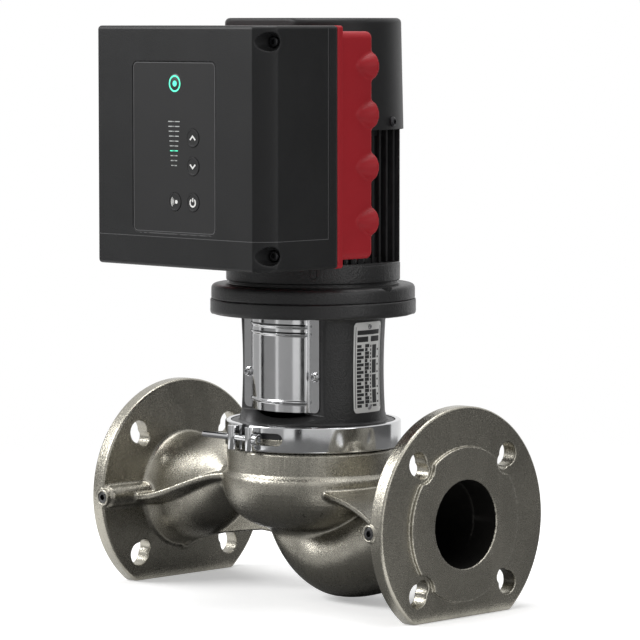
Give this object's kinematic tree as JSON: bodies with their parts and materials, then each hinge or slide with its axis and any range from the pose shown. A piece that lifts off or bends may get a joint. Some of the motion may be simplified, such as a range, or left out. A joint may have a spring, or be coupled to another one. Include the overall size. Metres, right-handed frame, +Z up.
{
  "type": "inline centrifugal pump",
  "caption": "Inline centrifugal pump with a cast casing between two pipe flanges, a clamped motor stool, an upright finned motor and a speed control box with a key panel.",
  "frame": {"origin": "centre of the inlet port's raised face", "axes": "+X out of the inlet port along the pipe, -Y towards the front of the control box, +Z up along the shaft; the shaft axis stands at x = -0.170 m"},
  "size_m": [0.34, 0.2456, 0.4687],
  "materials": {
    "cast_stainless": "bead-blasted stainless casting, machined port faces",
    "polished_stainless": "polished stainless sheet",
    "zinc_steel": "zinc-plated steel",
    "dark_fasteners": "blackened steel screws",
    "coated_iron": "charcoal textured coating on cast iron",
    "shaft_steel": "ground shaft steel",
    "wear_bronze": "machined bronze",
    "carbon_seal": "carbon graphite, modelled with a plastic's density",
    "black_rubber": "matte rubber",
    "coupling_iron": "machined cast iron",
    "black_aluminium": "die-cast aluminium with satin black paint",
    "lamination_steel": "stacked electrical steel sheet",
    "copper_winding": "enamelled copper wire",
    "black_plastic": "satin moulded plastic with a fine grain",
    "red_plastic": "satin dark red moulded plastic",
    "panel_film": "matte charcoal panel film",
    "key_plastic": "soft-touch grey keys",
    "status_glass": "translucent green lens",
    "level_glass": "translucent pale bars",
    "board_laminate": "green circuit board laminate",
    "bare_plate": "fine brushed aluminium plate"
  },
  "bodies": {
    "root": {"pump_housing": "cast_stainless", "inlet_tapping_plug": "zinc_steel", "outlet_tapping_plug": "zinc_steel", "neck_ring": "wear_bronze", "seal_seat": "carbon_seal", "seal_cover": "cast_stainless", "casing_o_ring": "black_rubber", "motor_stool": "coated_iron", "clamp_band": "polished_stainless", "clamp_bolt": "zinc_steel", "clamp_barrels": "polished_stainless", "front_coupling_guard": "polished_stainless", "rear_coupling_guard": "polished_stainless", "guard_screws": "zinc_steel", "motor_end_shield": "coated_iron", "stool_bolts": "zinc_steel", "stator_housing": "black_aluminium", "stator_core": "lamination_steel", "stator_windings": "copper_winding", "bearing_outer_rings": "shaft_steel", "fan_end_shield": "black_aluminium", "fan_cover": "black_plastic", "fan_cover_screws": "dark_fasteners", "box_base": "red_plastic", "box_gasket": "black_rubber", "box_cover": "black_plastic", "box_screws": "dark_fasteners", "control_panel": "panel_film", "status_light": "status_glass", "level_lights": "level_glass", "circuit_board": "board_laminate", "name_plate": "bare_plate", "plate_rivets": "zinc_steel"},
    "rotor": {"impeller": "cast_stainless", "impeller_nut": "zinc_steel", "pump_shaft": "shaft_steel", "seal_rotating_part": "zinc_steel", "front_coupling_half": "coupling_iron", "rear_coupling_half": "coupling_iron", "coupling_screws": "dark_fasteners", "rotor_core": "lamination_steel", "motor_shaft": "shaft_steel", "bearing_inner_rings": "shaft_steel", "fan": "black_plastic"},
    "lower_balls": {"lower_bearing_balls": "shaft_steel"},
    "upper_balls": {"upper_bearing_balls": "shaft_steel"},
    "key_up_cap": {"key_up": "key_plastic"},
    "key_down_cap": {"key_down": "key_plastic"},
    "key_radio_cap": {"key_radio": "key_plastic"},
    "key_power_cap": {"key_power": "key_plastic"}
  },
  "joints": [
    {"name": "rotor_spin", "type": "hinge", "parent": "root", "child": "rotor", "pos_m": [-0.17, 0, 0.1], "axis": [0, 0, 1], "continuous": true},
    {"name": "lower_ball_orbit", "type": "hinge", "parent": "root", "child": "lower_balls", "pos_m": [-0.17, 0, 0.1], "axis": [0, 0, 1], "continuous": true},
    {"name": "upper_ball_orbit", "type": "hinge", "parent": "root", "child": "upper_balls", "pos_m": [-0.17, 0, 0.1], "axis": [0, 0, 1], "continuous": true},
    {"name": "key_up_press", "type": "slide", "parent": "root", "child": "key_up_cap", "axis": [0, 1, 0], "range_m": [0, 0.0005], "stiffness_N_per_m": 600},
    {"name": "key_down_press", "type": "slide", "parent": "root", "child": "key_down_cap", "axis": [0, 1, 0], "range_m": [0, 0.0005], "stiffness_N_per_m": 600},
    {"name": "key_radio_press", "type": "slide", "parent": "root", "child": "key_radio_cap", "axis": [0, 1, 0], "range_m": [0, 0.0005], "stiffness_N_per_m": 600},
    {"name": "key_power_press", "type": "slide", "parent": "root", "child": "key_power_cap", "axis": [0, 1, 0], "range_m": [0, 0.0005], "stiffness_N_per_m": 600}
  ],
  "couplings": [
    {"joint": "lower_ball_orbit", "follows": "rotor_spin", "ratio": 0.3948},
    {"joint": "upper_ball_orbit", "follows": "rotor_spin", "ratio": 0.3789}
  ]
}
